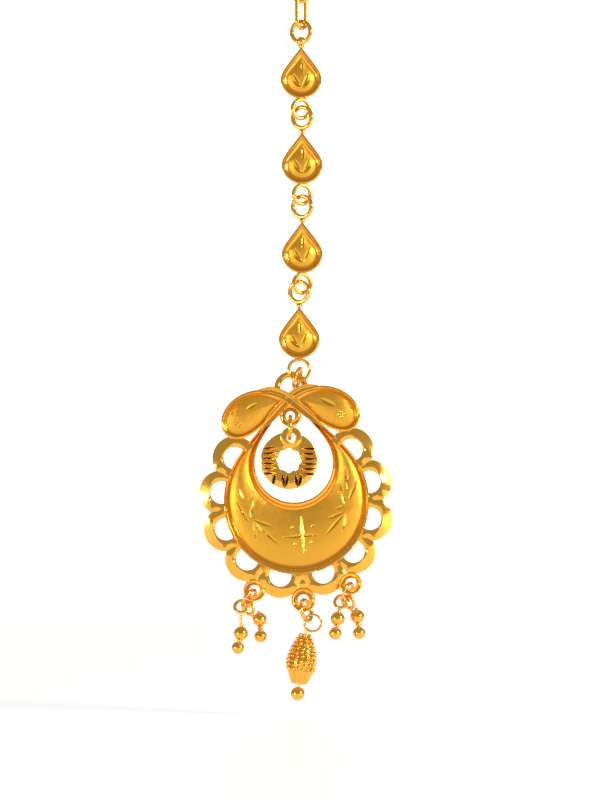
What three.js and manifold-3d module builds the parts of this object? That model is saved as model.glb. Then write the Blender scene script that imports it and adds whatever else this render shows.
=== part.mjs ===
// A gold maang tikka: a hair hook, an oval link, a chain of four drop-shaped links, and a crescent
// pendant with a bow of two lobes, ten scallops, an inner disc and three hanging drops.
// Millimetres, +Z up. The front faces -Y. The origin is the inside top of the hair hook, where the
// jewel hangs from the hair, so everything else lies below it.
import * as THREE from "three";
import { mergeVertices } from "three/addons/utils/BufferGeometryUtils.js";
import Module from "manifold-3d";

const wasm = await Module();
wasm.setup();

// ---------------------------------------------------------------- driving dimensions

const WIRE_SIDES = 8; // sides of every round wire
const RING_STEPS = 16; // steps round every small ring
const LINK_GAP = 0.3; // free air kept between a ring and the wire it hangs on
const SLIVER = 0.012; // edges shorter than this are closed up after joins and cuts
const WELD = 1e-4; // corners closer than this are one
const PAST = 1; // how far a cut runs on past the face that it opens
const THROUGH = 3; // how far a cut that goes right through runs on each side of y = 0
const TUCK = 0.1; // how far a swelling's trim stays inside the back face
const QUARTER = 0.5523; // handle of a cubic curve that draws a quarter circle of radius 1
// Steps along each curve of an outline, and round and down each ball.
const STEPS = { plate: 8, crescent: 10, lobe: 6, scallop: 9, disc: 14, tab: 6, hole: 5, bail: 20 };
const BALL_STEPS = [10, 7];
const SWELLING_STEPS = [18, 10];

const HOOK = {
  wire: 0.48,
  bend: 3.4,
  shank: 2.2,
  rise: 1.4, // handle of the curve where it leaves the eye
  sway: 1.6, // handle of the curve where it meets the shank
  tail: 3.6,
  flare: 0.3, // how far the free end stands out
  eye: 1.35,
  eyeDrop: 8.75,
  tip: 0.6, // radius of the ball on the free end
  steps: 26,
};
const OVAL = { wire: 0.38, radius: 1.28, straight: 1.8, x: 0.1, z: -11.65, twist: 55 };

// One drop link: a pear-shaped cup with a ring soldered to its tip and another to its foot.
const DROP = {
  outline: { length: 8.6, width: 6.8, belly: 5.4, apex: 37, near: 3.5, far: 1.3 },
  front: -0.85, // the rim's front edge
  back: 0.55,
  rim: 0.55, // width of the rim
  floor: -0.1, // depth of the recessed floor
  bevel: 0.2,
  // The puffed centre: its rise from the floor, its edge inside the outline, and its trim inside the rim.
  puff: { rise: 0.55, inset: 0.7, halfHeight: 3.4, trim: 0.25 },
  wire: 0.38,
  topRing: 1.72,
  topRise: 2.5, // from the tip up to the centre of the upper ring
  neck: { radius: 0.55, rise: 0.2 }, // the solder bead between the tip and the upper ring
  footFall: 1.72, // from the foot down to the centre of the lower ring
  twist: -27, // how far the upper ring is turned out of the link's plane, in degrees
};
const FOOT_RING = { radius: 1.56, wire: 0.38, twist: 27 };
const DROP_PLACES = [
  { name: "drop_link_1", x: 0.02, tipZ: -17.85, foot: FOOT_RING, nub: 0.8 },
  { name: "drop_link_2", x: 0.19, tipZ: -32.1, foot: FOOT_RING },
  { name: "drop_link_3", x: 0.2, tipZ: -46.95, foot: FOOT_RING },
  { name: "drop_link_4", x: -0.3, tipZ: -61.15, foot: { radius: 1.75, wire: 0.3, twist: 0 } },
];

// The jump ring between the last drop link and the pendant's bail.
const JUMP = { x: -0.6, y: 0.75, z: -73, radius: 1.7, wire: 0.3, lean: 15, twist: 75 };

// The pendant's own frame starts where its rims cross, and leans as it hangs.
const PENDANT = { x: -2.0, z: -76.17, lean: -4.1 };
const CRESCENT = {
  outer: { length: 29.6, width: 24.2, belly: 17.5, apex: 47, near: 12, far: 6 },
  inner: { length: 17.0, width: 13.0, belly: 10.5, apex: 42, near: 7.5, far: 3 },
  innerDrop: 0.6, // the opening's tip lies this far below the crossing
  front: -0.85,
  back: 0.55,
  rim: 0.75,
  floor: -0.05,
  lap: 0.05, // how far the swelling runs in under the rim
  dome: { rise: 0.6, z: -18.6, halfWidth: 11.2, halfHeight: 10.3 },
};
// Half of the bow: each lobe's rim as cubic curves that start at the crossing.
const LOBE = {
  start: [0, 0],
  curves: [
    { c1: [1.6, 1.1], c2: [3.4, 1.6], end: [5.2, 1.55] },
    { c1: [8.6, 1.5], c2: [11.6, -1.0], end: [11.6, -3.7] },
    { c1: [11.6, -5.5], c2: [10.4, -6.4], end: [8.9, -6.4] },
    { c1: [6.6, -6.4], c2: [3.2, -2.9], end: [0, 0] },
  ],
  middle: [7.6, -2.5],
  front: -1.05,
  back: 0.45,
  recess: 0.8, // the floor's outline as a share of the rim's
  floor: -0.2,
  dome: { rise: 0.65, halfWidth: 4.0, halfHeight: 2.1, tilt: 19 },
};
const SCALLOP = {
  count: 5, // on each side
  firstAngle: 16.5, // degrees from straight down to the first one
  pitch: 28.2,
  orbit: 12.6, // from the crescent's centre to the middle of each hole
  radius: 3.75,
  hole: 1.85,
  front: -0.6,
  back: 0.4,
  bevel: 0.25,
  overlap: 0.3, // how far the scallops run in under the crescent
};
const BAIL = { x: 0.45, y: 0.8, z: 1.55, radius: 2.3, wire: 0.52, lean: -16 };
const EYES = [
  { x: 0, z: -3.2, radius: 1.8, hole: 0.8 },
  { x: -0.05, z: -33.9, radius: 2.0, hole: 0.95 },
  { x: -8.05, z: -31.7, radius: 1.85, hole: 0.9 },
  { x: 8.05, z: -31.7, radius: 1.85, hole: 0.9 },
];
const EYE_DEPTH = { front: -0.5, back: 0.5 };
const WEB = { z: -31.3, radius: 1.2 }; // fills the fork between the lowest scallops and their eye

// The disc that hangs in the pendant's opening, measured down from the eye above it.
const DISC = {
  lean: -5.9, // from the pendant's axis
  ring: { radius: 1.85, wire: 0.28 },
  tab: { drop: 3.7, radius: 1.65, hole: 0.75 },
  body: { drop: 7.4, radius: 4.78, hole: 1.95, holeSides: 8 },
  front: -0.45,
  back: 0.4,
  bevel: 0.15,
};

// The two side drops: a jump ring in the pendant's eye, two small rings on it and a bead pin on
// each. Angles turn round the jump ring from its top, and places are in the model's own frame.
const BEAD = { upper: 1.17, lower: 1.04, pin: 0.17 };
const SMALL_RING = { radius: 1.12, wire: 0.22 };
const SIDE_JUMP = { open: 25, radius: 1.65, wire: 0.3 };
const SIDE_DROPS = [
  {
    name: "left",
    eye: 2,
    lean: 32,
    hangers: [
      { name: "outer", angle: 202, toward: [-0.86, -0.5], upper: [-10.0, -115.5], lower: [-10.5, -117.9] },
      { name: "inner", angle: 146, toward: [0.8, -0.6], upper: [-6.9, -113.3], lower: [-6.75, -116.1] },
    ],
  },
  {
    name: "right",
    eye: 3,
    lean: 20,
    hangers: [
      { name: "inner", angle: 202, toward: [-0.86, -0.5], upper: [6.1, -113.05], lower: [5.7, -115.5] },
      { name: "outer", angle: 146, toward: [0.85, -0.53], upper: [9.4, -112.8], lower: [9.7, -115.55] },
    ],
  },
];

// The middle drop: a granulated berry that is threaded on a wire with a loop above and a ball below.
const BERRY = {
  jump: { open: 25, radius: 1.8, wire: 0.32 },
  lean: -15,
  loop: { x: 1.95, z: -113.83, radius: 1.4, wire: 0.19 },
  top: [0.75, -114.8],
  ball: { x: -0.55, z: -125.6, radius: 1.26 },
  bore: 0.5, // radius of the berry's bore
  steps: 18,
  profile: [
    { s: 1.0, r: 1.3 },
    { s: 3.4, r: 2.25 },
    { s: 5.6, r: 2.65 },
    { s: 6.9, r: 2.4 },
    { s: 9.15, r: 1.4 },
  ],
};

const GOLD = { polished: [0xf2b233, 0.18], satin: [0xe8a92c, 0.38] };

// ---------------------------------------------------------------- solids and meshes

const radians = THREE.MathUtils.degToRad;

function solidOf(geometry) {
  const loose = geometry.index ? geometry.toNonIndexed() : geometry;
  const bare = new THREE.BufferGeometry().setAttribute("position", loose.getAttribute("position"));
  const merged = mergeVertices(bare, WELD);
  return new wasm.Manifold(
    new wasm.Mesh({
      numProp: 3,
      vertProperties: merged.attributes.position.array,
      triVerts: new Uint32Array(merged.index.array),
    }),
  );
}

function geometryOf(solid) {
  const mesh = solid.getMesh();
  const places = new Float32Array(mesh.numVert * 3);
  for (let i = 0; i < mesh.numVert; i++) {
    places.set(mesh.vertProperties.subarray(i * mesh.numProp, i * mesh.numProp + 3), i * 3);
  }
  return new THREE.BufferGeometry()
    .setAttribute("position", new THREE.BufferAttribute(places, 3))
    .setIndex(new THREE.BufferAttribute(mesh.triVerts, 1));
}

const joined = (geometries) => geometries.map(solidOf).reduce((a, b) => a.add(b));

function piece(name, solid, finish) {
  const [color, roughness] = GOLD[finish];
  const geometry = geometryOf(solid.simplify(SLIVER));
  geometry.computeVertexNormals();
  const mesh = new THREE.Mesh(
    geometry,
    new THREE.MeshStandardMaterial({ color, roughness, metalness: 1 }),
  );
  mesh.name = name;
  return mesh;
}

// ---------------------------------------------------------------- shapes

// A pear outline in the XZ plane with its tip up at (0, tip): two curves to the belly and a round
// foot. An inset draws it that far inside.
function pear(size, tip = 0, inset = 0) {
  const { length, width, belly, apex, near, far } = size;
  const angle = radians(apex);
  const top = tip - inset / Math.sin(angle);
  const half = width / 2 - inset;
  const waist = tip - belly;
  const shoulder = [near * Math.sin(angle), top - near * Math.cos(angle)];
  const shape = new THREE.Shape();
  shape.moveTo(0, top);
  shape.bezierCurveTo(-shoulder[0], shoulder[1], -half, waist + far, -half, waist);
  shape.absellipse(0, waist, half, length - belly - inset, Math.PI, 2 * Math.PI, false);
  shape.bezierCurveTo(half, waist + far, shoulder[0], shoulder[1], 0, top);
  return shape;
}

// The lobe's outline on one side of the pendant (side is 1 or -1), shrunk about its middle.
function lobeOutline(side, share = 1) {
  const at = ([x, z]) => [
    side * (LOBE.middle[0] + (x - LOBE.middle[0]) * share),
    LOBE.middle[1] + (z - LOBE.middle[1]) * share,
  ];
  const shape = new THREE.Shape();
  shape.moveTo(...at(LOBE.start));
  for (const { c1, c2, end } of LOBE.curves) {
    shape.bezierCurveTo(...at(c1), ...at(c2), ...at(end));
  }
  return shape;
}

function disc(x, z, radius) {
  return new THREE.Shape().absarc(x, z, radius, 0, 2 * Math.PI, false);
}

// A plate of that XZ outline, from y = back forward to y = front.
function plate(shape, back, front, steps = STEPS.plate, bevel = 0) {
  const geometry = new THREE.ExtrudeGeometry(shape, {
    depth: back - front - 2 * bevel,
    curveSegments: steps,
    bevelEnabled: bevel > 0,
    bevelThickness: bevel,
    bevelSize: bevel,
    bevelOffset: -bevel,
    bevelSegments: 1,
  });
  return geometry.rotateX(Math.PI / 2).translate(0, back - bevel, 0);
}

// A low round swelling: an ellipsoid in the XZ plane, that deep along Y.
function swelling(x, y, z, halfWidth, depth, halfHeight) {
  return new THREE.SphereGeometry(1, ...SWELLING_STEPS)
    .scale(halfWidth, depth, halfHeight)
    .translate(x, y, z);
}

// A round wire ring that faces the front, before it is turned.
function ring(radius, wire, steps = RING_STEPS) {
  return new THREE.TorusGeometry(radius, wire, WIRE_SIDES, steps).rotateX(Math.PI / 2);
}

// A ring whose plane holds the unit vectors up and across, about that centre.
function ringIn(centre, up, across, radius, wire) {
  const normal = new THREE.Vector3().crossVectors(across, up);
  const basis = new THREE.Matrix4().makeBasis(across, up, normal);
  return new THREE.TorusGeometry(radius, wire, WIRE_SIDES, RING_STEPS)
    .applyMatrix4(basis)
    .translate(centre.x, centre.y, centre.z);
}

function rod(from, to, radius) {
  const along = new THREE.Vector3().subVectors(to, from);
  const turn = new THREE.Quaternion().setFromUnitVectors(
    new THREE.Vector3(0, 1, 0),
    along.clone().normalize(),
  );
  const middle = new THREE.Vector3().addVectors(from, to).multiplyScalar(0.5);
  return new THREE.CylinderGeometry(radius, radius, along.length(), WIRE_SIDES)
    .applyQuaternion(turn)
    .translate(middle.x, middle.y, middle.z);
}

function ball(centre, radius) {
  return new THREE.SphereGeometry(radius, ...BALL_STEPS).translate(centre.x, centre.y, centre.z);
}

const inPlane = ([x, z], y = 0) => new THREE.Vector3(x, y, z);

// ---------------------------------------------------------------- hook and chain

function hairHook() {
  const { wire, bend, shank, rise, sway, tail, flare, eye, eyeDrop } = HOOK;
  const bendZ = wire - bend;
  const path = new THREE.CurvePath();
  const points = (x, z) => new THREE.Vector3(x, 0, z);
  path.add(
    new THREE.CubicBezierCurve3(
      points(0, eye - eyeDrop),
      points(0, eye - eyeDrop + rise),
      points(bend, bendZ - shank - sway),
      points(bend, bendZ - shank),
    ),
  );
  path.add(new THREE.LineCurve3(points(bend, bendZ - shank), points(bend, bendZ)));
  const side = bend * QUARTER;
  path.add(
    new THREE.CubicBezierCurve3(
      points(bend, bendZ),
      points(bend, bendZ + side),
      points(side, bendZ + bend),
      points(0, bendZ + bend),
    ),
  );
  path.add(
    new THREE.CubicBezierCurve3(
      points(0, bendZ + bend),
      points(-side, bendZ + bend),
      points(-bend, bendZ + side),
      points(-bend, bendZ),
    ),
  );
  path.add(new THREE.LineCurve3(points(-bend, bendZ), points(-bend - flare, bendZ - tail)));
  const bow = new THREE.ExtrudeGeometry(disc(0, 0, wire), {
    steps: HOOK.steps,
    curveSegments: WIRE_SIDES / 2,
    extrudePath: path,
  });
  const loop = ring(eye, wire).translate(0, 0, -eyeDrop);
  const tip = ball(points(-bend - flare, bendZ - tail), HOOK.tip);
  return piece("hair_hook", joined([bow, loop, tip]), "polished");
}

function ovalLink() {
  const geometry = ring(OVAL.radius, OVAL.wire);
  const places = geometry.attributes.position;
  for (let i = 0; i < places.count; i++) {
    const z = places.getZ(i);
    places.setZ(i, z + Math.sign(Math.abs(z) < WELD ? 0 : z) * OVAL.straight);
  }
  geometry.rotateZ(radians(OVAL.twist)).translate(OVAL.x, 0, OVAL.z);
  return piece("oval_link", solidOf(geometry), "polished");
}

function dropLink({ name, x, tipZ, foot, nub }) {
  const { outline, front, back, rim, floor, puff, wire, neck } = DROP;
  const well = plate(pear(outline, 0, rim), floor, front - PAST);
  const halfWidth = outline.width / 2 - puff.inset;
  const swell = swelling(0, floor, -outline.belly, halfWidth, puff.rise, puff.halfHeight);
  const inside = plate(pear(outline, 0, rim + puff.trim), back - TUCK, front);
  const cup = solidOf(plate(pear(outline), back, front, STEPS.plate, DROP.bevel))
    .subtract(solidOf(well))
    .add(solidOf(swell).intersect(solidOf(inside)));
  const upper = ring(DROP.topRing, wire).rotateZ(radians(DROP.twist));
  const lower = ring(foot.radius, foot.wire).rotateZ(radians(foot.twist));
  const lowerZ = -outline.length - DROP.footFall + FOOT_RING.radius - foot.radius;
  let solid = cup
    .add(solidOf(upper.translate(0, 0, DROP.topRise)))
    .add(solidOf(lower.translate(0, 0, lowerZ)))
    .add(solidOf(ball(new THREE.Vector3(0, 0, neck.rise), neck.radius)));
  if (nub) {
    solid = solid.add(solidOf(ball(new THREE.Vector3(0, 0, nub), nub)));
  }
  const link = piece(name, solid, "polished");
  link.position.set(x, 0, tipZ);
  return link;
}

function jumpRing() {
  const { x, y, z, radius, wire, lean, twist } = JUMP;
  const geometry = ring(radius, wire).rotateX(radians(lean)).rotateZ(radians(twist));
  const link = piece("jump_ring", solidOf(geometry), "polished");
  link.position.set(x, y, z);
  return link;
}

// ---------------------------------------------------------------- pendant

// What lies between the crescent's two edges, moved in by that inset, from back forward to front.
function crescentBand(back, front, inset) {
  const { outer, inner, innerDrop } = CRESCENT;
  const hole = pear(inner, -innerDrop, -inset);
  const opening = plate(hole, back + PAST, front - PAST, STEPS.crescent);
  const whole = plate(pear(outer, 0, inset), back, front, STEPS.crescent);
  return solidOf(whole).subtract(solidOf(opening));
}

function crescentSolid() {
  const { front, back, rim, floor, lap, dome } = CRESCENT;
  const swell = swelling(0, floor, dome.z, dome.halfWidth, dome.rise, dome.halfHeight);
  const face = crescentBand(back - TUCK, front, rim - lap);
  return crescentBand(back, front, 0)
    .subtract(crescentBand(floor, front - PAST, rim))
    .add(solidOf(swell).intersect(face));
}

function lobeSolid(side) {
  const { front, back, recess, floor, dome, middle } = LOBE;
  const body = solidOf(plate(lobeOutline(side), back, front, STEPS.lobe));
  const well = solidOf(plate(lobeOutline(side, recess), floor, front - PAST, STEPS.lobe));
  const swell = swelling(0, 0, 0, dome.halfWidth, dome.rise, dome.halfHeight);
  swell.rotateY(radians(side * dome.tilt));
  swell.translate(side * middle[0], floor, middle[1]);
  return body.subtract(well).add(solidOf(swell));
}

function scallopSolid(angle) {
  const { orbit, radius, hole, front, back, bevel } = SCALLOP;
  const x = orbit * Math.sin(angle);
  const z = -CRESCENT.outer.belly - orbit * Math.cos(angle);
  const shape = disc(x, z, radius);
  shape.holes.push(disc(x, z, hole));
  return solidOf(plate(shape, back, front, STEPS.scallop, bevel));
}

function scallopAngles() {
  const angles = [];
  for (const side of [-1, 1]) {
    for (let i = 0; i < SCALLOP.count; i++) {
      angles.push(side * radians(SCALLOP.firstAngle + i * SCALLOP.pitch));
    }
  }
  return angles;
}

function pendantSolid() {
  const outline = pear(CRESCENT.outer, 0, SCALLOP.overlap);
  const inside = solidOf(plate(outline, THROUGH, -THROUGH, STEPS.crescent));
  const scallops = scallopAngles()
    .map(scallopSolid)
    .reduce((a, b) => a.add(b))
    .subtract(inside);
  const bail = ring(BAIL.radius, BAIL.wire, STEPS.bail).rotateX(radians(BAIL.lean));
  bail.translate(BAIL.x, BAIL.y, BAIL.z);
  let solid = crescentSolid().add(scallops).add(lobeSolid(-1)).add(lobeSolid(1));
  for (const { x, z, radius } of [...EYES, { x: 0, ...WEB }]) {
    solid = solid.add(solidOf(plate(disc(x, z, radius), EYE_DEPTH.back, EYE_DEPTH.front)));
  }
  for (const { x, z, hole } of EYES) {
    solid = solid.subtract(solidOf(plate(disc(x, z, hole), THROUGH, -THROUGH, STEPS.hole)));
  }
  return solid.add(solidOf(bail));
}

function innerDisc() {
  const { ring: link, tab, body, front, back, bevel } = DISC;
  const group = new THREE.Group();
  group.position.set(EYES[0].x, 0, EYES[0].z);
  group.rotation.y = radians(-DISC.lean);
  const wire = ring(link.radius, link.wire).rotateZ(Math.PI / 2).translate(0, 0, -link.radius);
  const shape = disc(0, -body.drop, body.radius);
  const depth = 2 * THROUGH;
  const facets = new THREE.CylinderGeometry(body.hole, body.hole, depth, body.holeSides);
  const tabHole = plate(disc(0, -tab.drop, tab.hole), THROUGH, -THROUGH, STEPS.hole);
  const solid = solidOf(plate(shape, back, front, STEPS.disc, bevel))
    .add(solidOf(plate(disc(0, -tab.drop, tab.radius), back, front, STEPS.tab)))
    .subtract(solidOf(tabHole))
    .subtract(solidOf(facets.translate(0, 0, -body.drop)));
  group.add(piece("disc_ring", solidOf(wire), "polished"), piece("inner_disc", solid, "polished"));
  return group;
}

// ---------------------------------------------------------------- hanging drops

// A jump ring that hangs from that place: its centre, its two unit axes and its solid.
function hangingRing(top, lean, { open, radius, wire }) {
  const up = new THREE.Vector3(Math.sin(radians(lean)), 0, Math.cos(radians(lean)));
  const across = new THREE.Vector3(up.z, 0, -up.x).multiplyScalar(Math.sin(radians(open)));
  across.y = Math.cos(radians(open));
  const centre = top.clone().addScaledVector(up, -radius);
  return { centre, up, across, radius, solid: solidOf(ringIn(centre, up, across, radius, wire)) };
}

// The place and direction of a hanging ring's wire, at that angle from its top.
function onRing({ centre, up, across, radius }, degrees) {
  const c = Math.cos(radians(degrees));
  const s = Math.sin(radians(degrees));
  return {
    point: centre.clone().addScaledVector(up, radius * c).addScaledVector(across, radius * s),
    along: up.clone().multiplyScalar(-s).addScaledVector(across, c),
  };
}

// A small ring square to the wire that it hangs on, with a pin and two beads soldered below it.
function beadHanger({ point, along }, { toward, upper, lower }) {
  const { radius, wire } = SMALL_RING;
  const outward = inPlane(toward).projectOnPlane(along).normalize();
  const across = new THREE.Vector3().crossVectors(outward, along).normalize();
  const reach = radius - wire - SIDE_JUMP.wire - LINK_GAP;
  const centre = point.clone().addScaledVector(outward, reach);
  const drop = Math.hypot(outward.z, across.z);
  const low = centre
    .clone()
    .addScaledVector(outward, (-radius * outward.z) / drop)
    .addScaledVector(across, (-radius * across.z) / drop);
  const first = inPlane(upper, low.y);
  const second = inPlane(lower, low.y);
  return joined([
    ringIn(centre, outward, across, radius, wire),
    rod(low, first, BEAD.pin),
    rod(first, second, BEAD.pin),
    ball(first, BEAD.upper),
    ball(second, BEAD.lower),
  ]);
}

// The place of one of the pendant's eyes in the model's own frame.
function eyePlace(pendant, index) {
  const { x, z } = EYES[index];
  pendant.updateMatrixWorld(true);
  return pendant.localToWorld(new THREE.Vector3(x, 0, z));
}

function sideDrop(pendant, { name, eye, lean, hangers }) {
  const jump = hangingRing(eyePlace(pendant, eye), lean, SIDE_JUMP);
  const group = new THREE.Group();
  group.add(piece(`${name}_jump_ring`, jump.solid, "polished"));
  for (const hanger of hangers) {
    const solid = beadHanger(onRing(jump, hanger.angle), hanger);
    group.add(piece(`${name}_${hanger.name}_beads`, solid, "polished"));
  }
  return group;
}

function middleDrop(pendant) {
  const { jump, lean, loop, top, ball: end, bore, steps, profile } = BERRY;
  const link = hangingRing(eyePlace(pendant, 1), lean, jump);
  const y = link.centre.y;
  const loopCentre = new THREE.Vector3(loop.x, y, loop.z);
  const head = inPlane(top, y);
  const foot = new THREE.Vector3(end.x, y, end.z);
  const wire = joined([
    ring(loop.radius, loop.wire).translate(...loopCentre),
    rod(loopCentre.clone().add(new THREE.Vector3(-loop.radius, 0, 0)), head, loop.wire),
    rod(head, foot, loop.wire),
    ball(head, loop.wire),
    ball(foot, end.radius),
  ]);
  const last = profile[profile.length - 1];
  const points = [
    new THREE.Vector2(bore, -profile[0].s),
    new THREE.Vector2(bore, -last.s),
    ...[...profile].reverse().map(({ s, r }) => new THREE.Vector2(r, -s)),
    new THREE.Vector2(bore, -profile[0].s),
  ];
  const berry = new THREE.LatheGeometry(points, steps).rotateX(Math.PI / 2);
  const axis = new THREE.Vector3().subVectors(head, foot).normalize();
  const turn = new THREE.Quaternion().setFromUnitVectors(new THREE.Vector3(0, 0, 1), axis);
  const group = new THREE.Group();
  const body = piece("berry", solidOf(berry), "satin");
  body.quaternion.copy(turn);
  body.position.copy(head);
  group.add(piece("middle_jump_ring", link.solid, "polished"));
  group.add(piece("berry_wire", wire, "polished"), body);
  return group;
}

// ---------------------------------------------------------------- the whole jewel

function pendantGroup() {
  const group = new THREE.Group();
  group.position.set(PENDANT.x, 0, PENDANT.z);
  group.rotation.y = radians(PENDANT.lean);
  group.add(piece("pendant", pendantSolid(), "satin"), innerDisc());
  return group;
}

const group = new THREE.Group();
const pendant = pendantGroup();
group.add(hairHook(), ovalLink(), ...DROP_PLACES.map(dropLink), jumpRing(), pendant);
group.add(...SIDE_DROPS.map((drop) => sideDrop(pendant, drop)), middleDrop(pendant));

export default group;
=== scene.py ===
# A gold maang tikka: polished rings and rims, satin faces, diamond cuts and a granulated berry.
# Sizes are in millimetres and are turned into metres when a piece is finished.
from math import cos, hypot, pi, radians, sin

import bmesh
import bpy
from bpy.props import FloatProperty, FloatVectorProperty, PointerProperty
from mathutils import Matrix, Vector


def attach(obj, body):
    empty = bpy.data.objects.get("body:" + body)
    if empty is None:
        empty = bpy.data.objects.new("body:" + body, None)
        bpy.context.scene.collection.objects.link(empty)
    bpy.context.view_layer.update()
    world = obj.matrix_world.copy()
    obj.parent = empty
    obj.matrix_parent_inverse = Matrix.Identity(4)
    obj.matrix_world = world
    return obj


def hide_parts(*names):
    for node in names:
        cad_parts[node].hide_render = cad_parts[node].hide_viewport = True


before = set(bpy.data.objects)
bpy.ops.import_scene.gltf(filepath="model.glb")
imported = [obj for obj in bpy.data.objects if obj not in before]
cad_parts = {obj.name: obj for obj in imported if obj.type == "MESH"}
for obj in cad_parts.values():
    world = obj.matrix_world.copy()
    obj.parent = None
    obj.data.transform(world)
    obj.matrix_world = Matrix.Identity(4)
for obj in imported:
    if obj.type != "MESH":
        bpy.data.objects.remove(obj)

bl_info = {
    "name": "Maang Tikka",
    "version": (1, 0, 0),
    "blender": (4, 5, 0),
    "location": "View3D > Sidebar > Tikka",
    "description": "Builds a gold forehead jewel piece by piece",
    "category": "Add Mesh",
}

MM = 0.001
WIRE_SIDES = 14
RING_STEPS = 56

PENDANT_PLACE = Vector((-2.0, 0.0, -76.17))
PENDANT_LEAN = -4.1
PENDANT = Matrix.Translation(PENDANT_PLACE) @ Matrix.Rotation(radians(PENDANT_LEAN), 4, "Y")

DROP_OUTLINE = {"length": 8.6, "width": 6.8, "belly": 5.4, "apex": 37, "near": 3.5, "far": 1.3}
DROPS = [
    {"name": "drop_link_1", "x": 0.02, "z": -17.85, "foot": (1.56, 0.38, 27), "cuts": 4},
    {"name": "drop_link_2", "x": 0.19, "z": -32.1, "foot": (1.56, 0.38, 27), "cuts": 4},
    {"name": "drop_link_3", "x": 0.2, "z": -46.95, "foot": (1.56, 0.38, 27), "cuts": 3},
    {"name": "drop_link_4", "x": -0.3, "z": -61.15, "foot": (1.75, 0.3, 0), "cuts": 3},
]
CRESCENT_OUTER = {"length": 29.6, "width": 24.2, "belly": 17.5, "apex": 47, "near": 12, "far": 6}
CRESCENT_INNER = {"length": 17.0, "width": 13.0, "belly": 10.5, "apex": 42, "near": 7.5, "far": 3}
INNER_TIP = -0.6
LOBE_CURVES = [
    ((0, 0), (1.6, 1.1), (3.4, 1.6), (5.2, 1.55)),
    ((5.2, 1.55), (8.6, 1.5), (11.6, -1.0), (11.6, -3.7)),
    ((11.6, -3.7), (11.6, -5.5), (10.4, -6.4), (8.9, -6.4)),
    ((8.9, -6.4), (6.6, -6.4), (3.4, -3.9), (0, 0)),
]
LOBE_MIDDLE = (7.6, -2.5)
EYES = [(0, -3.2, 1.8, 0.8), (-0.05, -33.9, 2.0, 0.95), (-8.05, -31.7, 1.85, 0.9), (8.05, -31.7, 1.85, 0.9)]
SCALLOP = {"first": 16.5, "pitch": 28.2, "orbit": 12.6, "radius": 3.73, "hole": 1.85}
SIDE_JUMP = (25, 1.65, 0.3)  # opening angle, radius, wire
SMALL_RING = (1.12, 0.22)
LINK_GAP = 0.3
SIDE_DROPS = [
    ("left", 2, 32, [
        ("outer", 202, (-0.86, -0.5), (-10.0, -115.5), (-10.5, -117.9)),
        ("inner", 146, (0.8, -0.6), (-6.9, -113.3), (-6.75, -116.1)),
    ]),
    ("right", 3, 20, [
        ("inner", 202, (-0.86, -0.5), (6.1, -113.05), (5.7, -115.5)),
        ("outer", 146, (0.85, -0.53), (9.4, -112.8), (9.7, -115.55)),
    ]),
]
BERRY_TOP = (0.75, -114.8)
BERRY_BALL = (-0.55, -125.6, 1.16)

# Lens cuts on each face: (x, z) of both ends and the half width. Dots: (x, z) and the radius.
CRESCENT_CUTS = [
    ((0.6, -19.8), (0.6, -26.2), 0.32), ((-3.0, -23.2), (3.7, -23.2), 0.3),
    ((-10.0, -16.6), (-8.1, -20.4), 0.34), ((-7.6, -19.8), (-4.0, -21.5), 0.32),
    ((-7.0, -20.5), (-3.4, -24.5), 0.36), ((-7.3, -20.2), (-7.2, -23.5), 0.3),
    ((-7.2, -16.8), (-7.8, -19.6), 0.3), ((-9.3, -14.6), (-8.8, -16.4), 0.22),
    ((8.6, -12.0), (8.6, -16.0), 0.34), ((7.5, -14.9), (7.9, -18.4), 0.32),
    ((10.3, -14.7), (8.6, -17.9), 0.34), ((6.3, -19.2), (8.1, -18.6), 0.26),
    ((4.7, -20.7), (7.9, -19.7), 0.32), ((4.3, -23.5), (7.7, -20.0), 0.36),
    ((7.4, -22.8), (8.0, -19.9), 0.3),
]
CRESCENT_DOTS = [(-1.0, -21.7), (2.4, -21.7), (-0.8, -24.4), (2.0, -24.3), (0.8, -25.6)]
LOBE_CUTS = {
    -1: [((-7.3, -1.6), (-5.4, -0.6), 0.36), ((-10.3, -2.2), (-8.4, -1.3), 0.2)],
    1: [((5.0, -0.5), (7.8, -2.1), 0.5), ((9.6, -1.6), (10.6, -3.0), 0.2)],
}
LOBE_DOTS = {
    -1: [(-8.7, -3.5), (-8.2, -3.8), (-9.1, -3.9), (-8.6, -4.2)],
    1: [(8.5, -3.0), (8.9, -3.4), (8.1, -3.5), (8.5, -3.8)],
}


# ---------------------------------------------------------------- settings

class TikkaSizes(bpy.types.PropertyGroup):
    cup_puff: FloatProperty(
        name="Cup puff", description="How far a chain cup's centre swells", default=0.62 * MM, unit="LENGTH")
    crescent_puff: FloatProperty(
        name="Crescent puff", description="How far the crescent's face swells", default=0.75 * MM, unit="LENGTH")
    lobe_puff: FloatProperty(
        name="Lobe puff", description="How far each bow lobe swells", default=0.6 * MM, unit="LENGTH")
    grain: FloatProperty(
        name="Granule", description="Radius of the berry's granules", default=0.33 * MM, unit="LENGTH")
    floor_drop: FloatProperty(
        name="Floor drop", description="From the hook's seat down to the floor", default=129.4 * MM, unit="LENGTH")


class TikkaLook(bpy.types.PropertyGroup):
    gold: FloatVectorProperty(
        name="Gold", description="Colour of the polished gold", subtype="COLOR", size=3,
        default=(1.0, 0.52, 0.075))
    satin: FloatVectorProperty(
        name="Satin gold", description="Colour of the satin faces", subtype="COLOR", size=3,
        default=(0.88, 0.44, 0.045))
    polish: FloatProperty(
        name="Polish", description="Roughness of the polished gold", default=0.14, min=0.0, max=1.0)
    frost: FloatProperty(
        name="Frost", description="Roughness of the satin faces", default=0.42, min=0.0, max=1.0)


# ---------------------------------------------------------------- shader maths

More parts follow.
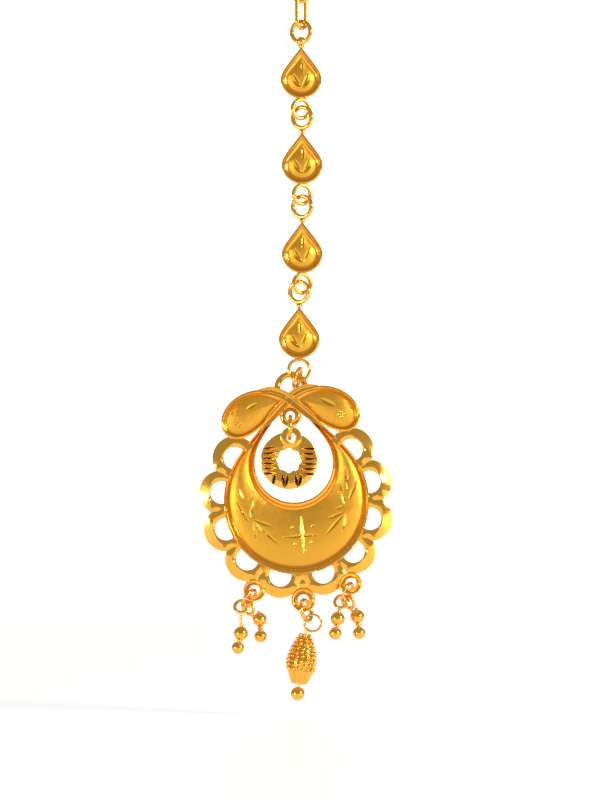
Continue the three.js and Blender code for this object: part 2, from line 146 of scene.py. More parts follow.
class Value:
    """A shader value that is added, multiplied and compared as a number is."""

    def __init__(self, tree, socket):
        self.tree = tree
        self.socket = socket

    def math(self, operation, *others):
        node = self.tree.nodes.new("ShaderNodeMath")
        node.operation = operation
        for place, item in enumerate((self, *others)):
            if isinstance(item, Value):
                self.tree.links.new(item.socket, node.inputs[place])
            else:
                node.inputs[place].default_value = item
        return Value(self.tree, node.outputs[0])

    def __add__(self, other):
        return self.math("ADD", other)

    def __sub__(self, other):
        return self.math("SUBTRACT", other)

    def __mul__(self, other):
        return self.math("MULTIPLY", other)

    def __rsub__(self, other):
        return (self * -1.0) + other

    def most(self, other):
        return self.math("MAXIMUM", other)

    __radd__ = __add__
    __rmul__ = __mul__


class Surface:
    """One material: its node tree, the piece's own place in millimetres, and its metal."""

    def __init__(self, name, color, roughness):
        self.material = bpy.data.materials.new(name)
        self.material.use_nodes = True
        self.tree = self.material.node_tree
        self.metal = self.tree.nodes["Principled BSDF"]
        self.metal.inputs["Base Color"].default_value = (*color, 1.0)
        self.metal.inputs["Roughness"].default_value = roughness
        self.metal.inputs["Metallic"].default_value = 1.0

    def node(self, kind, settings=(), inputs=()):
        node = self.tree.nodes.new(kind)
        for key, value in dict(settings).items():
            setattr(node, key, value)
        for key, value in dict(inputs).items():
            if isinstance(value, Value):
                self.tree.links.new(value.socket, node.inputs[key])
            else:
                node.inputs[key].default_value = value
        return node

    def place(self):
        attribute = self.node("ShaderNodeAttribute", {"attribute_name": "place"})
        return Value(self.tree, attribute.outputs["Vector"])

    def axes(self):
        apart = self.node("ShaderNodeSeparateXYZ", (), {"Vector": self.place()})
        return Value(self.tree, apart.outputs["X"]), Value(self.tree, apart.outputs["Z"])

    def noise(self, scale, detail=3.0):
        cloud = self.node("ShaderNodeTexNoise", (), {"Vector": self.place(), "Scale": scale, "Detail": detail})
        return Value(self.tree, cloud.outputs["Fac"])

    def bump(self, height, strength=1.0):
        """A height in millimetres, raised where it is positive."""
        bump = self.node("ShaderNodeBump", (), {"Height": height, "Strength": strength, "Distance": MM})
        self.tree.links.new(bump.outputs["Normal"], self.metal.inputs["Normal"])

    def link(self, value, socket):
        self.tree.links.new(value.socket, self.metal.inputs[socket])


def lens_cut(x, z, start, end, half_width):
    """Depth of a V cut that is widest in the middle and runs out to a point at both ends."""
    length = hypot(end[0] - start[0], end[1] - start[1])
    along_x = (end[0] - start[0]) / length
    along_z = (end[1] - start[1]) / length
    along = (x - start[0]) * along_x + (z - start[1]) * along_z
    across = (x - start[0]) * -along_z + (z - start[1]) * along_x
    share = along * (1.0 / length)
    width = share * (1.0 - share) * (4.0 * half_width)
    return (width - across.math("ABSOLUTE")).most(0.0)


def punched_dot(x, z, centre, radius):
    dx = x - centre[0]
    dz = z - centre[1]
    return (radius - (dx * dx + dz * dz).math("SQRT")).most(0.0)


def engraving(surface, cuts, dots=(), dot_radius=0.24):
    x, z = surface.axes()
    depth = None
    shapes = [lens_cut(x, z, *cut) for cut in cuts] + [punched_dot(x, z, dot, dot_radius) for dot in dots]
    for shape in shapes:
        depth = shape if depth is None else depth.most(shape)
    return depth


def polished_gold():
    look = bpy.context.scene.tikka_look
    made = bpy.data.materials.get("bright_gold")
    if made:
        return made
    surface = Surface("bright_gold", look.gold, look.polish)
    surface.bump(surface.noise(0.9, 2.0) * 0.02)
    return surface.material


def satin_gold(name, cuts=(), dots=()):
    """Satin gold with a fine grain, and bright cuts that shine through it."""
    look = bpy.context.scene.tikka_look
    surface = Surface(name, look.satin, look.frost)
    grain = surface.noise(9.0, 4.0) * 0.022 + surface.noise(0.7, 2.0) * 0.12
    if cuts or dots:
        depth = engraving(surface, cuts, dots)
        bright = depth.math("GREATER_THAN", 0.01)
        surface.bump(grain - depth * 0.62)
        surface.link(look.frost - bright * (look.frost - 0.1), "Roughness")
    else:
        surface.bump(grain)
    return surface.material


# ---------------------------------------------------------------- building with bmesh

def start_mesh():
    bm = bmesh.new()
    bm.verts.layers.int.new("step")
    return bm


def first_row(bm, points):
    """A closed loop of edges through these points, from a circle with as many steps."""
    made = bmesh.ops.create_circle(bm, cap_ends=False, segments=len(points), radius=1.0)
    step = bm.verts.layers.int["step"]
    for index, vert in enumerate(made["verts"]):
        vert[step] = index
        vert.co = points[index]
    return list({edge for vert in made["verts"] for edge in vert.link_edges})


def next_row(bm, edges, points, material=0):
    """Extrudes the loop of edges on to these points."""
    step = bm.verts.layers.int["step"]
    made = bmesh.ops.extrude_edge_only(bm, edges=edges)["geom"]
    for item in made:
        if isinstance(item, bmesh.types.BMVert):
            item.co = points[item[step]]
        elif isinstance(item, bmesh.types.BMFace):
            item.material_index = material
    return [item for item in made if isinstance(item, bmesh.types.BMEdge) and len(item.link_faces) == 1]


def sweep(bm, rows, loop=False, materials=()):
    """Skins these rows of points. Each end is closed by one face, or the last row meets the first."""
    opening = first_row(bm, rows[0])
    edges = opening
    for index, row in enumerate(rows[1:]):
        edges = next_row(bm, edges, row, materials[index] if materials else 0)
    if loop:
        verts = list({vert for edge in edges + opening for vert in edge.verts})
        bmesh.ops.remove_doubles(bm, verts=verts, dist=1e-5)
        return
    for rim in (opening, edges):
        bmesh.ops.contextual_create(bm, geom=rim)


def ring(bm, radius, wire, turn=Matrix(), stretch=0.0):
    """A round wire ring that faces the front, turned and placed by that matrix."""
    section = bmesh.ops.create_circle(
        bm, cap_ends=False, segments=WIRE_SIDES, radius=wire,
        matrix=Matrix.Translation((radius, 0, 0)))["verts"]
    edges = list({edge for vert in section for edge in vert.link_edges})
    before = set(bm.verts) - set(section)
    bmesh.ops.spin(
        bm, geom=section + edges, cent=(0, 0, 0), axis=(0, 1, 0), angle=2 * pi, steps=RING_STEPS, use_merge=True)
    verts = [vert for vert in bm.verts if vert not in before]
    for vert in verts:
        if stretch and abs(vert.co.z) > 1e-4:
            vert.co.z += stretch if vert.co.z > 0 else -stretch
    bmesh.ops.transform(bm, verts=verts, matrix=turn)


def lathe(bm, profile, steps, turn=Matrix()):
    """Spins a closed profile of (radius, y) about the Y axis."""
    before = set(bm.verts)
    made = bmesh.ops.create_circle(bm, cap_ends=False, segments=len(profile), radius=1.0)["verts"]
    for vert, (radius, y) in zip(made, profile):
        vert.co = (radius, y, 0)
    edges = list({edge for vert in made for edge in vert.link_edges})
    bmesh.ops.spin(
        bm, geom=made + edges, cent=(0, 0, 0), axis=(0, 1, 0), angle=2 * pi, steps=steps, use_merge=True)
    bmesh.ops.transform(bm, verts=[vert for vert in bm.verts if vert not in before], matrix=turn)


def ball(bm, centre, radius, stretch=(1, 1, 1)):
    turn = Matrix.Translation(centre) @ Matrix.Diagonal((*stretch, 1))
    bmesh.ops.create_uvsphere(bm, u_segments=28, v_segments=18, radius=radius, matrix=turn)


def tube(bm, path, radius):
    """A round wire along these points, with its section carried on from step to step."""
    rows = []
    side = None
    for index, point in enumerate(path):
        ahead = path[min(index + 1, len(path) - 1)] - path[max(index - 1, 0)]
        ahead.normalize()
        if side is None:
            side = ahead.orthogonal()
        side = (side - ahead * side.dot(ahead)).normalized()
        other = ahead.cross(side)
        rows.append([
            point + (side * cos(2 * pi * k / WIRE_SIDES) + other * sin(2 * pi * k / WIRE_SIDES)) * radius
            for k in range(WIRE_SIDES)
        ])
    sweep(bm, rows)


def finish_piece(bm, name, body, nodes, materials, turn=Matrix(), crease=38):
    """Makes the mesh an object in the row frame, parents it to its CAD body and hides the CAD nodes it stands in for.
    """
    bmesh.ops.recalc_face_normals(bm, faces=bm.faces)
    local = bm.verts.layers.float_vector.new("place")
    for vert in bm.verts:
        vert[local] = vert.co
    for face in bm.faces:
        face.smooth = True
    for edge in bm.edges:
        edge.smooth = edge.calc_face_angle(0) < radians(crease)
    bmesh.ops.transform(bm, verts=bm.verts, matrix=Matrix.Scale(MM, 4) @ turn)
    mesh = bpy.data.meshes.new(name)
    bm.to_mesh(mesh)
    bm.free()
    for material in materials:
        mesh.materials.append(material)
    piece = bpy.data.objects.new(name, mesh)
    bpy.context.scene.collection.objects.link(piece)
    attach(piece, body)
    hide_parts(*nodes)
    return piece


def bezier(a, b, c, d, t):
    s = 1 - t
    return tuple(s ** 3 * a[i] + 3 * s * s * t * b[i] + 3 * s * t * t * c[i] + t ** 3 * d[i] for i in (0, 1))


def pear(size, inset=0.0, tip=0.0, side_steps=36, foot_steps=64):
    """Points (x, z) round a pear outline, anticlockwise from its tip, that far inside its edge."""
    angle = radians(size["apex"])
    top = tip - inset / sin(angle)
    half = size["width"] / 2 - inset
    waist = tip - size["belly"]
    depth = size["length"] - size["belly"] - inset
    shoulder = (-size["near"] * sin(angle), top - size["near"] * cos(angle))

    def side(t):
        return bezier((0, top), shoulder, (-half, waist + size["far"]), (-half, waist), t)

    left = [side(i / side_steps) for i in range(side_steps)]
    foot = [
        (-half * cos(pi * i / foot_steps), waist - depth * sin(pi * i / foot_steps))
        for i in range(foot_steps)
    ]
    right = [(-x, z) for x, z in (side(1 - i / side_steps) for i in range(side_steps))]
    return left + foot + right


def at_depth(points, y):
    return [Vector((x, y, z)) for x, z in points]


def toward(points, middle, share):
    return [(middle[0] + (x - middle[0]) * share, middle[1] + (z - middle[1]) * share) for x, z in points]


# ---------------------------------------------------------------- hook and chain

def hook_path(bend=3.4, wire=0.48, shank=2.2, tail=3.6, eye_top=-7.4):
    centre = wire - bend
    path = []
    for i in range(15):
        x, z = bezier((0, eye_top), (0, eye_top + 1.4), (bend, centre - shank - 1.6), (bend, centre - shank), i / 14)
        path.append(Vector((x, 0, z)))
    for i in range(33):
        angle = pi * i / 32
        path.append(Vector((bend * cos(angle), 0, centre + bend * sin(angle))))
    path.append(Vector((-bend - 0.3, 0, centre - tail)))
    return path


def make_hook():
    bm = start_mesh()
    tube(bm, hook_path(), 0.48)
    ring(bm, 1.35, 0.48, Matrix.Translation((0, 0, -8.75)))
    ball(bm, (-3.7, 0, -6.52), 0.58)
    finish_piece(bm, "hook", "chain", ["hair_hook"], [polished_gold()])


def make_oval():
    bm = start_mesh()
    turn = Matrix.Translation((0.1, 0, -11.65)) @ Matrix.Rotation(radians(55), 4, "Z")
    ring(bm, 1.28, 0.38, turn, stretch=1.8)
    finish_piece(bm, "oval", "chain", ["oval_link"], [polished_gold()])


def cup_rows(puff):
    """A chain cup's rows from the back, over the rim and down the sloping wall to the puffed centre."""
    middle = (0, -4.9)
    edge = [(0.35, 0.53), (0.08, 0.42), (0, 0.2), (0, -0.55), (0.06, -0.72), (0.2, -0.84), (0.36, -0.84),
            (0.5, -0.72), (0.6, -0.52), (0.8, -0.36), (1.02, -0.26), (1.1, -0.25)]
    rows = [at_depth(toward(pear(DROP_OUTLINE, 0.35), middle, 0.3), 0.53)]
    rows += [at_depth(pear(DROP_OUTLINE, inset), y) for inset, y in edge]
    seam = pear(DROP_OUTLINE, 1.12)
    for step in range(13):
        share = 1 - 0.98 * step / 12
        rows.append(at_depth(toward(seam, middle, share), -0.25 - puff * (1 - share ** 2.0)))
    return rows, len(edge)


def drop_cuts(count):
    """One upright lens cut, and a fan of cuts that rises from the foot of the cup."""
    cuts = [((0.05, -2.3), (0.1, -4.7), 0.3)]
    fan = [(-1.35, -4.3), (1.3, -4.1), (-1.5, -5.6), (1.55, -5.5)][:count]
    return cuts + [((0.15, -6.9), end, 0.28) for end in fan]


def make_drop(spec):
    sizes = bpy.context.scene.tikka_sizes
    bm = start_mesh()
    rows, edge_rows = cup_rows(sizes.cup_puff / MM)
    sweep(bm, rows, materials=[0] * edge_rows + [1] * (len(rows) - 1 - edge_rows))
    ring(bm, 1.72, 0.38, Matrix.Translation((0, 0, 2.5)) @ Matrix.Rotation(radians(-27), 4, "Z"))
    radius, wire, twist = spec["foot"]
    foot_z = -8.6 - 1.72 + 1.56 - radius
    ring(bm, radius, wire, Matrix.Translation((0, 0, foot_z)) @ Matrix.Rotation(radians(twist), 4, "Z"))
    ball(bm, (0, 0, 0.2), 0.5)
    if spec["name"] == "drop_link_1":
        ball(bm, (0, 0, 0.95), 0.72, (1, 1, 1.1))
    face = satin_gold("cup_face_" + spec["name"], drop_cuts(spec["cuts"]))
    place = Matrix.Translation((spec["x"], 0, spec["z"]))
    finish_piece(bm, "cup_" + spec["name"], "chain", [spec["name"]], [polished_gold(), face], place)


def make_jump():
    bm = start_mesh()
    turn = (Matrix.Translation((-0.6, 0.75, -73.0)) @ Matrix.Rotation(radians(75), 4, "Z")
            @ Matrix.Rotation(radians(15), 4, "X"))
    ring(bm, 1.7, 0.3, turn)
    finish_piece(bm, "jump", "ring", ["jump_ring"], [polished_gold()])


# ---------------------------------------------------------------- pendant

def crescent_rows(puff):
    """Rows across the band, from its outer edge to its inner edge, and round the back."""
    outer = pear(CRESCENT_OUTER, 0, 0, 70, 130)
    inner = pear(CRESCENT_INNER, 0, INNER_TIP, 70, 130)
    widths = [hypot(a[0] - b[0], a[1] - b[1]) for a, b in zip(outer, inner)]

    def row(depth_in, y, from_inner=False, swell=0.0):
        points = []
        for a, b, width in zip(outer, inner, widths):
            if isinstance(depth_in, float):
                share = depth_in * min(1.0, width / 3.4) / width
                share = 1 - share if from_inner else share
                lift = 0.0
            else:
                low = 1.4 * min(1.0, width / 3.4) / width
                high = 1 - 1.2 * min(1.0, width / 3.4) / width
                share = low + (high - low) * depth_in[0]
                lift = puff * min(1.0, width / 9.0) * sin(pi * depth_in[0]) ** 0.8
            points.append(Vector((a[0] + (b[0] - a[0]) * share, y - lift, a[1] + (b[1] - a[1]) * share)))
        return points

    outside = [(0.3, 0.54), (0.05, 0.46), (0.0, 0.3), (0.0, -0.5), (0.06, -0.7), (0.2, -0.83), (0.36, -0.83),
               (0.5, -0.72), (0.56, -0.62), (0.86, -0.6), (0.96, -0.5), (1.12, -0.28), (1.4, -0.14)]
    inside = [(1.2, -0.14), (0.95, -0.26), (0.76, -0.5), (0.62, -0.7), (0.45, -0.83), (0.25, -0.85),
              (0.08, -0.74), (0.0, -0.55), (0.0, 0.4), (0.1, 0.54)]
    rows = [row(d, y) for d, y in outside]
    steps = 26
    rows += [row((i / steps,), -0.14) for i in range(1, steps)]
    rows += [row(d, y, True) for d, y in inside]
    rows.append(rows[0])
    materials = [0] * (len(outside) - 1) + [1] * steps + [0] * len(inside)
    return rows, materials


def make_crescent():
    sizes = bpy.context.scene.tikka_sizes
    bm = start_mesh()
    rows, materials = crescent_rows(sizes.crescent_puff / MM)
    sweep(bm, rows, loop=True, materials=materials)
    face = satin_gold("crescent_face", CRESCENT_CUTS, CRESCENT_DOTS)
    finish_piece(bm, "crescent", "pendant", ["pendant"], [polished_gold(), face], PENDANT)


def lobe_outline(side):
    points = []
    for curve in LOBE_CURVES:
        points += [bezier(*curve, i / 30) for i in range(30)]
    return [(side * x, z) for x, z in points]


def make_lobe(side, name):
    sizes = bpy.context.scene.tikka_sizes
    puff = sizes.lobe_puff / MM
    outline = lobe_outline(side)
    middle = (side * LOBE_MIDDLE[0], LOBE_MIDDLE[1])
    edge = [(0.3, 0.44), (0.95, 0.44), (1.0, 0.3), (1.0, -0.72), (0.985, -0.92), (0.95, -1.02), (0.915, -1.03),
            (0.885, -0.95), (0.865, -0.78), (0.83, -0.55), (0.79, -0.42)]
    rows = [at_depth(toward(outline, middle, share), y) for share, y in edge]
    for step in range(1, 17):
        share = 0.79 * (1 - 0.985 * step / 16)
        rows.append(at_depth(toward(outline, middle, share), -0.42 - puff * (1 - (share / 0.79) ** 2)))
    bm = start_mesh()
    sweep(bm, rows, materials=[0] * (len(edge) - 1) + [1] * 16)
    face = satin_gold(name + "_face", LOBE_CUTS[side], LOBE_DOTS[side])
    finish_piece(bm, name, "pendant", ["pendant"], [polished_gold(), face], PENDANT)


def scallop(bm, angle, lift):
    """A half ring from rim to rim, with one long lens-shaped cut along its outer edge."""
    radius = SCALLOP["radius"]
    hole = SCALLOP["hole"]
    centre_x = SCALLOP["orbit"] * sin(angle)
    centre_z = -CRESCENT_OUTER["belly"] - SCALLOP["orbit"] * cos(angle)
    rows = []
    for step in range(61):
        turn = radians(-114 + 228 * step / 60)
        ahead = angle + turn
        lens = max(0.0, cos(turn * 1.4))
        nick = 0.45 * max(0.0, cos((abs(turn) - radians(84)) * 5)) if lens == 0 else 0.0
        cut = radius - 0.15 - 1.3 * lens - nick
        belly = min(hole + 0.7, (hole + cut) / 2)
        section = [(hole, 0.38), (hole, -0.2), (hole + 0.12, -0.46), (hole + 0.34, -0.64), (belly, -0.72), (cut, -0.6),
                   (radius - 0.02, -0.5 + 0.55 * lens + 0.5 * nick), (radius, 0.2), (radius - 0.2, 0.39)]
        rows.append([
            Vector((centre_x + r * sin(ahead), y + lift, centre_z - r * cos(ahead))) for r, y in section
        ])
    sweep(bm, rows)


def make_scallops():
    bm = start_mesh()
    for side in (-1, 1):
        for index in range(5):
            lift = 0.06 * (index % 2) + 0.03 * (side > 0)
            scallop(bm, side * radians(SCALLOP["first"] + index * SCALLOP["pitch"]), lift)
    finish_piece(bm, "scallops", "pendant", ["pendant"], [polished_gold()], PENDANT, 22)


def make_strap(side, front):
    """A ribbon from the top of one lobe, over the crossing and down the crescent's other edge."""
    curves = [((-5.0, 1.42), (-3.2, 1.5), (-1.5, 0.95), (-0.2, -0.1)), ((-0.2, -0.1), (1.3, -1.35), (3.4, -3.2), (5.6, -5.9))]
    path = [bezier(*curve, i / 24) for curve in curves for i in range(25)][:-1]
    section = [(-0.78, 0.0), (-0.78, -0.5), (-0.66, -0.62), (-0.5, -0.6), (-0.36, -0.42), (0.0, -0.36),
               (0.36, -0.42), (0.5, -0.6), (0.66, -0.62), (0.78, -0.5), (0.78, 0.0)]
    rows = []
    for index, (x, z) in enumerate(path):
        ahead = path[min(index + 1, len(path) - 1)]
        behind = path[max(index - 1, 0)]
        run = hypot(ahead[0] - behind[0], ahead[1] - behind[1])
        aside = ((behind[1] - ahead[1]) / run, (ahead[0] - behind[0]) / run)
        share = index / (len(path) - 1)
        width = 0.25 + 0.75 * min(1.0, 5 * share, 5 * (1 - share))
        rows.append([
            Vector((side * (x + aside[0] * u * width), y + front, z + aside[1] * u * width)) for u, y in section
        ])
    bm = start_mesh()
    sweep(bm, rows)
    name = "right_strap" if side > 0 else "left_strap"
    finish_piece(bm, name, "pendant", ["pendant"], [polished_gold()], PENDANT)


def make_eyes():
    bm = start_mesh()
    for x, z, radius, hole in EYES:
        profile = [(hole, 0.45), (hole, -0.2), (hole + 0.12, -0.34), (radius - 0.62, -0.3), (radius - 0.48, -0.46),
                   (radius - 0.34, -0.6), (radius - 0.18, -0.63), (radius - 0.04, -0.52), (radius, -0.35),
                   (radius, 0.4), (radius - 0.1, 0.48)]
        lathe(bm, profile, 56, Matrix.Translation((x, 0, z)))
    ball(bm, (0, 0, -31.2), 1.1, (1, 0.45, 1))
    finish_piece(bm, "eyes", "pendant", ["pendant"], [polished_gold()], PENDANT)


def make_bail():
    bm = start_mesh()
    turn = Matrix.Translation((0.45, 0.8, 1.55)) @ Matrix.Rotation(radians(-16), 4, "X")
    ring(bm, 2.3, 0.52, turn)
    finish_piece(bm, "bail", "pendant", ["pendant"], [polished_gold()], PENDANT)


# ---------------------------------------------------------------- inner disc

DISC_TURN = PENDANT @ Matrix.Translation((0, 0, -3.2)) @ Matrix.Rotation(radians(5.9), 4, "Y")


def disc_cuts():
    """Level grooves on both sides of the hole and short slanting cuts below it."""
    cuts = []
    for side in (-1, 1):
        for row in range(6):
            z = -5.35 - 0.85 * row
            cuts.append(((side * 1.9, z), (side * 4.75, z + 0.1 * side), 0.26))
    for index in range(5):
        x = -2.2 + 1.1 * index
        cuts.append(((x, -9.5), (x + (0.5 if index % 2 else -0.5), -12.0), 0.3))
    return cuts


def make_disc():
    bm = start_mesh()
    steps = 120
    hole = [1.95 * (1 + 0.07 * cos(8 * 2 * pi * i / steps)) for i in range(steps)]

    def row(share, y):
        """One ring of the plate, with a notch at its top that leaves the tab's hole open."""
        points = []
        for i in range(steps):
            angle = 2 * pi * i / steps
            off_tab = abs((angle - radians(3.7) + pi) % (2 * pi) - pi)
            outer = 2.9 if off_tab < radians(21) else 4.78
            radius = hole[i] + (outer - hole[i]) * share
            points.append(Vector((radius * sin(angle), y, -7.4 + radius * cos(angle))))
        return points

    levels = [(0.0, 0.38), (0.0, -0.3), (0.05, -0.42), (0.3, -0.45), (0.6, -0.45), (0.94, -0.44), (0.99, -0.34),
              (1.0, -0.2), (1.0, 0.3), (0.95, 0.39)]
    rows = [row(share, y) for share, y in levels]
    sweep(bm, rows + [rows[0]], loop=True)
    profile = [(0.75, 0.36), (0.75, -0.45), (0.95, -0.62), (1.5, -0.62), (1.76, -0.5), (1.84, 0.2), (1.6, 0.33)]
    lathe(bm, profile, 40, Matrix.Translation((0.25, 0, -3.55)))
    look = bpy.context.scene.tikka_look
    surface = Surface("disc_gold", look.gold, 0.16)
    depth = engraving(surface, disc_cuts())
    surface.bump(surface.noise(1.5, 2.0) * 0.03 - depth * 1.3)
    # Painted shade: where a cut is deep its colour goes near black, standing in for the shadow inside the groove.
    groove_painted_shade = surface.node("ShaderNodeMix", {"data_type": "RGBA"}, {"Factor": depth.math("GREATER_THAN", 0.13)})
    groove_painted_shade.inputs[6].default_value = (*look.gold, 1)
    groove_painted_shade.inputs[7].default_value = (0.03, 0.015, 0.004, 1)
    surface.link(Value(surface.tree, groove_painted_shade.outputs[2]), "Base Color")
    finish_piece(bm, "disc", "pendant", ["inner_disc"], [surface.material], DISC_TURN)
    bm = start_mesh()
    ring(bm, 1.85, 0.36, Matrix.Translation((0, 0, -1.85)) @ Matrix.Rotation(pi / 2, 4, "Z"))
    finish_piece(bm, "disc_link", "pendant", ["disc_ring"], [polished_gold()], DISC_TURN)


# ---------------------------------------------------------------- hanging drops

def hanging_ring(top, lean, opening, radius):
    up = Vector((sin(radians(lean)), 0, cos(radians(lean))))
    across = Vector((up.z, 0, -up.x)) * sin(radians(opening))
    across.y = cos(radians(opening))
    return {"centre": top - up * radius, "up": up, "across": across, "radius": radius}


def ring_matrix(centre, up, across):
    """Turns a ring that faces the front so that its plane holds up and across."""
    normal = across.cross(up)
    turn = Matrix((across, normal * -1, up)).transposed().to_4x4()
    return Matrix.Translation(centre) @ turn


def eye_place(index):
    x, z = EYES[index][:2]
    return PENDANT @ Vector((x, 0, z))


def bead_hanger(bm, jump, wire, angle, toward_xz, upper, lower):
    c = cos(radians(angle))
    s = sin(radians(angle))
    point = jump["centre"] + (jump["up"] * c + jump["across"] * s) * jump["radius"]
    along = (jump["across"] * c - jump["up"] * s).normalized()
    outward = Vector((toward_xz[0], 0, toward_xz[1]))
    outward = (outward - along * outward.dot(along)).normalized()
    across = outward.cross(along).normalized()
    radius, small_wire = SMALL_RING
    centre = point + outward * (radius - small_wire - wire - LINK_GAP)
    drop = hypot(outward.z, across.z)
    low = centre - (outward * outward.z + across * across.z) * (radius / drop)
    ring(bm, radius, small_wire + 0.05, ring_matrix(centre, outward, across))
    first = Vector((upper[0], low.y, upper[1]))
    second = Vector((lower[0], low.y, lower[1]))
    tube(bm, [low, first], 0.23)
    tube(bm, [first, second], 0.23)
    ball(bm, first, 1.17)
    ball(bm, second, 1.04)
    collar = (first - second).normalized()
    ball(bm, first + collar * 1.2, 0.3)
    ball(bm, (first + second) * 0.5, 0.42)


def make_side_drops():
    opening, radius, wire = SIDE_JUMP
    for name, eye, lean, hangers in SIDE_DROPS:
        jump = hanging_ring(eye_place(eye), lean, opening, radius)
        bm = start_mesh()
        ring(bm, radius, wire, ring_matrix(jump["centre"], jump["up"], jump["across"]))
        finish_piece(bm, name + "_jump", "pendant", [name + "_jump_ring"], [polished_gold()])
        for hanger in hangers:
            bm = start_mesh()
            bead_hanger(bm, jump, wire, *hanger[1:])
            node = f"{name}_{hanger[0]}_beads"
            finish_piece(bm, node.replace("_beads", "_drop"), "pendant", [node], [polished_gold()])


BERRY_PROFILE = [(0.95, 0.72), (1.8, 1.15), (3.0, 1.65), (4.2, 2.0), (5.4, 2.15), (6.2, 2.16), (7.0, 1.97)]


def berry_radius(s):
    for (s0, r0), (s1, r1) in zip(BERRY_PROFILE, BERRY_PROFILE[1:]):
        if s <= s1:
            return r0 + (r1 - r0) * (s - s0) / (s1 - s0)
    return BERRY_PROFILE[-1][1]


def make_berry():
    sizes = bpy.context.scene.tikka_sizes
    grain = sizes.grain / MM
    link = hanging_ring(eye_place(1), -15, 25, 1.8)
    y = link["centre"].y
    head = Vector((BERRY_TOP[0], y, BERRY_TOP[1]))
    foot = Vector((BERRY_BALL[0], y, BERRY_BALL[1]))
    axis = (head - foot).normalized()
    turn = Matrix.Translation(head) @ axis.to_track_quat("Z", "Y").to_matrix().to_4x4()
    bm = start_mesh()
    core = [(0.5, 1.0)] + [(r, s) for s, r in BERRY_PROFILE] + [(0.5, 7.0)]
    lathe(bm, [(r, s) for r, s in core], 40, Matrix.Rotation(-pi / 2, 4, "X"))
    s = 1.15
    level = 0
    while s < 7.0:
        around = berry_radius(s)
        count = max(6, int(2 * pi * around / (grain * 2.5)))
        for k in range(count):
            angle = 2 * pi * (k + 0.5 * (level % 2) + 0.12 * sin(7.0 * k + 3.0 * level)) / count
            out = around + 0.1 + 0.08 * sin(5.0 * k + level)
            place = Vector((out * cos(angle), out * sin(angle), -s + 0.08 * cos(9.0 * k)))
            bmesh.ops.create_icosphere(bm, subdivisions=2, radius=grain, matrix=Matrix.Translation(place))
        s += grain * 2.1
        level += 1
    petals = 8
    rows = []
    for s, r in ((6.8, 1.8), (6.95, 2.3), (7.4, 2.2), (8.3, 1.8), (9.2, 1.4), (9.3, 0.6)):
        rows.append([
            Vector((r * cos(2 * pi * k / 48), r * sin(2 * pi * k / 48), -s))
            for k in range(48)
        ])
        for k, point in enumerate(rows[-1]):
            share = 1 - 0.16 * abs(cos(petals * pi * k / 48))
            point.x *= share
            point.y *= share
    sweep(bm, rows)
    finish_piece(bm, "granulated_berry", "pendant", ["berry"], [polished_gold()], turn, 30)
    bm = start_mesh()
    ring(bm, 1.8, 0.32, ring_matrix(link["centre"], link["up"], link["across"]))
    finish_piece(bm, "middle_jump", "pendant", ["middle_jump_ring"], [polished_gold()])
    bm = start_mesh()
    centre = Vector((1.95, y, -113.83))
    ring(bm, 1.4, 0.19, Matrix.Translation(centre))
    tube(bm, [centre - Vector((1.4, 0, 0)), head], 0.19)
    tube(bm, [head, foot], 0.19)
    ball(bm, foot, BERRY_BALL[2])
    finish_piece(bm, "berry_pin", "pendant", ["berry_wire"], [polished_gold()])


# ---------------------------------------------------------------- stage

def glow(name, strength):
    material = bpy.data.materials.new(name)
    material.use_nodes = True
    material.node_tree.nodes["Principled BSDF"].inputs["Base Color"].default_value = (0.9, 0.9, 0.9, 1)
    material.node_tree.nodes["Principled BSDF"].inputs["Emission Color"].default_value = (1, 1, 1, 1)
    material.node_tree.nodes["Principled BSDF"].inputs["Emission Strength"].default_value = strength
    return material


def stage_plane(name, size, turn, material):
    bm = bmesh.new()
    bmesh.ops.create_grid(bm, x_segments=1, y_segments=1, size=size, matrix=turn)
    mesh = bpy.data.meshes.new(name)
    bm.to_mesh(mesh)
    bm.free()
    mesh.materials.append(material)
    plane = bpy.data.objects.new(name, mesh)
    bpy.context.scene.collection.objects.link(plane)
    return plane


def lamp(name, place, aim, size, power):
    data = bpy.data.lights.new(name, "AREA")
    data.size = size
    data.energy = power
    light = bpy.data.objects.new(name, data)
    light.location = place
    light.rotation_euler = (Vector(aim) - Vector(place)).to_track_quat("-Z", "Y").to_euler()
    bpy.context.scene.collection.objects.link(light)


def make_stage():
    scene = bpy.context.scene
    drop = scene.tikka_sizes.floor_drop
    stage_plane("floor", 0.5, Matrix.Translation((0, 0.1, -drop)), glow("floor_white", 0.38))
    wall = Matrix.Translation((0, 0.9, -0.07)) @ Matrix.Rotation(pi / 2, 4, "X")
    stage_plane("backdrop", 0.35, wall, glow("wall_white", 1.0))
    middle = (0, 0, -0.075)
    lamp("left_softbox", (-0.42, -0.3, -0.16), middle, 0.16, 2.4)
    lamp("right_softbox", (0.45, -0.26, 0.06), middle, 0.14, 2.0)
    lamp("low_front_card", (-0.08, -0.45, -0.34), middle, 0.14, 0.8)
    world = bpy.data.worlds.new("studio")
    world.use_nodes = True
    world.node_tree.nodes["Background"].inputs["Color"].default_value = (1.0, 0.97, 0.93, 1)
    world.node_tree.nodes["Background"].inputs["Strength"].default_value = 0.4
    scene.world = world
    scene.view_settings.view_transform = "Standard"
    camera = bpy.data.objects.new("camera", bpy.data.cameras.new("camera"))
    camera.data.lens = 200
    camera.data.clip_start = 0.01
    camera.location = (-0.00017, -0.7407, -0.07667)
    camera.rotation_euler = (pi / 2, 0, 0)
    scene.collection.objects.link(camera)
    scene.camera = camera


# ---------------------------------------------------------------- operators and panel

class TIKKA_OT_hook(bpy.types.Operator):
    """Add the hair hook and the oval link"""
    bl_idname = "tikka.hook"
    bl_label = "Hook and oval link"

    def execute(self, context):
        make_hook()
        make_oval()
        return {"FINISHED"}


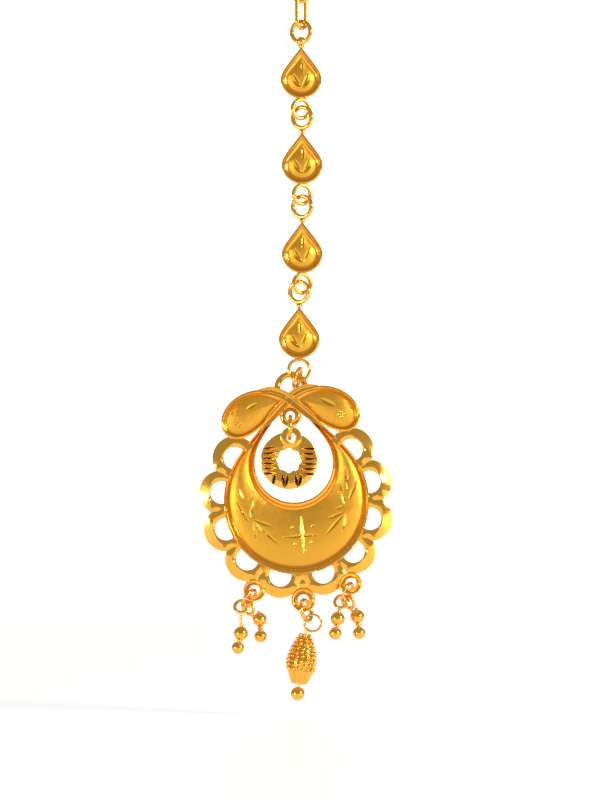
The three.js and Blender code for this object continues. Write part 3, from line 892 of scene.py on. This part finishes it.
class TIKKA_OT_chain(bpy.types.Operator):
    """Add the pear-shaped chain links and the jump ring"""
    bl_idname = "tikka.chain"
    bl_label = "Chain links"

    def execute(self, context):
        for spec in DROPS:
            make_drop(spec)
        make_jump()
        return {"FINISHED"}


class TIKKA_OT_crescent(bpy.types.Operator):
    """Add the crescent with its engraved face"""
    bl_idname = "tikka.crescent"
    bl_label = "Crescent"

    def execute(self, context):
        make_crescent()
        return {"FINISHED"}


class TIKKA_OT_bow(bpy.types.Operator):
    """Add the two lobes of the bow and the bail behind them"""
    bl_idname = "tikka.bow"
    bl_label = "Bow and bail"

    def execute(self, context):
        make_lobe(-1, "left_lobe")
        make_lobe(1, "right_lobe")
        make_strap(1, -0.58)
        make_strap(-1, -0.4)
        make_bail()
        return {"FINISHED"}


class TIKKA_OT_scallops(bpy.types.Operator):
    """Add the scallops and the eyes of the pendant"""
    bl_idname = "tikka.scallops"
    bl_label = "Scallops and eyes"

    def execute(self, context):
        make_scallops()
        make_eyes()
        return {"FINISHED"}


class TIKKA_OT_disc(bpy.types.Operator):
    """Add the cut disc that hangs in the crescent"""
    bl_idname = "tikka.disc"
    bl_label = "Inner disc"

    def execute(self, context):
        make_disc()
        return {"FINISHED"}


class TIKKA_OT_drops(bpy.types.Operator):
    """Add the bead drops and the granulated berry"""
    bl_idname = "tikka.drops"
    bl_label = "Hanging drops"

    def execute(self, context):
        make_side_drops()
        make_berry()
        return {"FINISHED"}


class TIKKA_OT_stage(bpy.types.Operator):
    """Add the floor, the backdrop, the lamps and the camera"""
    bl_idname = "tikka.stage"
    bl_label = "Stage"

    def execute(self, context):
        make_stage()
        return {"FINISHED"}


OPERATORS = (
    TIKKA_OT_hook, TIKKA_OT_chain, TIKKA_OT_crescent, TIKKA_OT_bow,
    TIKKA_OT_scallops, TIKKA_OT_disc, TIKKA_OT_drops, TIKKA_OT_stage,
)


class TIKKA_PT_panel(bpy.types.Panel):
    """Sizes, colours and one button for each group of pieces"""
    bl_label = "Maang Tikka"
    bl_space_type = "VIEW_3D"
    bl_region_type = "UI"
    bl_category = "Tikka"

    def draw(self, context):
        for settings in (context.scene.tikka_sizes, context.scene.tikka_look):
            for key in settings.__annotations__:
                self.layout.prop(settings, key)
        for operator in OPERATORS:
            self.layout.operator(operator.bl_idname)


CLASSES = (TikkaSizes, TikkaLook, *OPERATORS, TIKKA_PT_panel)


def register():
    for item in CLASSES:
        bpy.utils.register_class(item)
    bpy.types.Scene.tikka_sizes = PointerProperty(type=TikkaSizes)
    bpy.types.Scene.tikka_look = PointerProperty(type=TikkaLook)


def unregister():
    del bpy.types.Scene.tikka_look
    del bpy.types.Scene.tikka_sizes
    for item in reversed(CLASSES):
        bpy.utils.unregister_class(item)


def main():
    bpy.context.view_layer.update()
    register()
    bpy.ops.tikka.hook()
    bpy.ops.tikka.chain()
    bpy.ops.tikka.crescent()
    bpy.ops.tikka.bow()
    bpy.ops.tikka.scallops()
    bpy.ops.tikka.disc()
    bpy.ops.tikka.drops()
    bpy.ops.tikka.stage()


if __name__ == "__main__":
    main()
